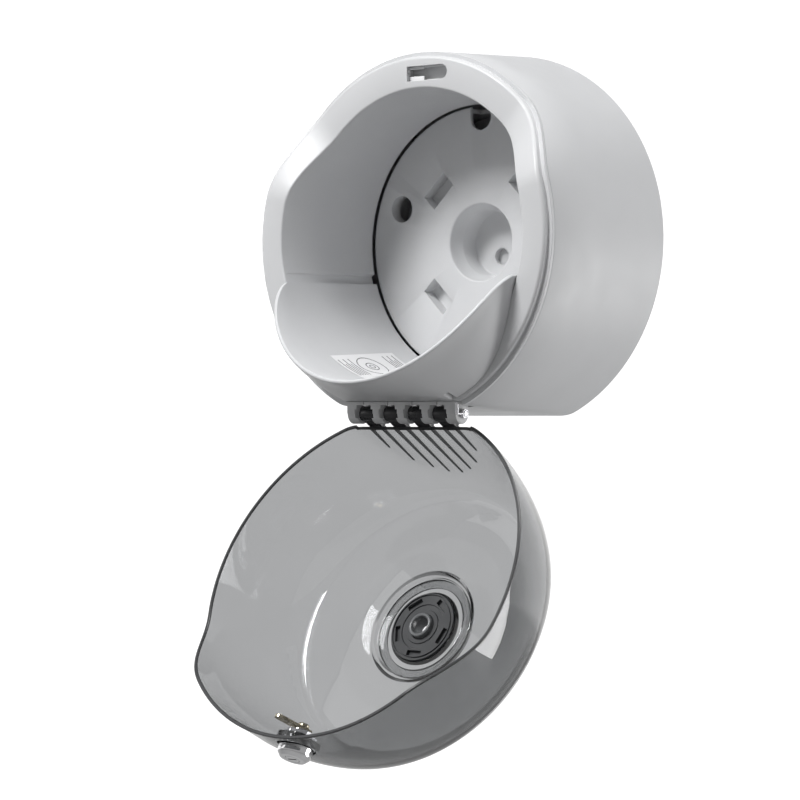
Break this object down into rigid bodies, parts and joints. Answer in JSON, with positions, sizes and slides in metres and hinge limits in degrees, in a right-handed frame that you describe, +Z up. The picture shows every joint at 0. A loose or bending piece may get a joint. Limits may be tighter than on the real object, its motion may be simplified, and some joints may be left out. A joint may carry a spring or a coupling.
{
  "type": "centre-pull tissue dispenser",
  "caption": "Round wall dispenser for centre-pull tissue rolls, open: grey drum with mounting plate and roll tray, smoke cover hung from a bottom hinge, with pull nozzle and key lock.",
  "frame": {"origin": "on the drum's axis, on the plane of the wall, at the middle of the drum's back panel", "axes": "-Y out of the wall towards the user, +X to the user's right, +Z up"},
  "size_m": [0.2666, 0.2483, 0.4925],
  "materials": {
    "drum_plastic": "light grey, satin moulded",
    "plate_plastic": "light grey, fine matt texture",
    "label": "white printed film",
    "steel": "bright zinc plated",
    "smoke_plastic": "smoke tinted, clear and glossy",
    "dark_plastic": "dark smoke, glossy",
    "nozzle_plastic": "dark grey, semi-gloss",
    "lock_chrome": "polished",
    "cam_nickel": "yellowish plated"
  },
  "bodies": {
    "base": {"drum_housing": "drum_plastic", "mounting_plate": "plate_plastic", "front_frame": "drum_plastic", "roll_tray": "drum_plastic", "strike_plate": "plate_plastic", "hinge_block": "drum_plastic", "hinge_pin": "steel", "hinge_clip": "steel", "instruction_label": "label", "plate_screw_1": "steel", "plate_screw_2": "steel", "plate_screw_3": "steel", "plate_screw_4": "steel"},
    "cover": {"cover_shell": "smoke_plastic", "hinge_knuckle_1": "dark_plastic", "hinge_knuckle_2": "dark_plastic", "hinge_knuckle_3": "dark_plastic", "hinge_knuckle_4": "dark_plastic", "nozzle_retainer": "dark_plastic", "lock_housing": "lock_chrome", "lock_nut": "lock_chrome"},
    "nozzle": {"nozzle_disc": "nozzle_plastic", "nozzle_tube": "nozzle_plastic"},
    "lock": {"lock_plug": "lock_chrome", "lock_cam": "cam_nickel", "cam_screw": "cam_nickel"}
  },
  "joints": [
    {"name": "cover_hinge", "type": "hinge", "parent": "base", "child": "cover", "pos_m": [0, -0.1155, -0.1209], "axis": [1, 0, 0], "range_deg": [-151.5, 0]},
    {"name": "nozzle_twist", "type": "hinge", "parent": "cover", "child": "nozzle", "pos_m": [0, -0.09594, -0.26909], "axis": [0, 0.8788, -0.4772], "range_deg": [0, 30]},
    {"name": "lock_turn", "type": "hinge", "parent": "cover", "child": "lock", "pos_m": [0, -0.2306, -0.33708], "axis": [0, 0.4772, 0.8788], "range_deg": [0, 75]}
  ]
}
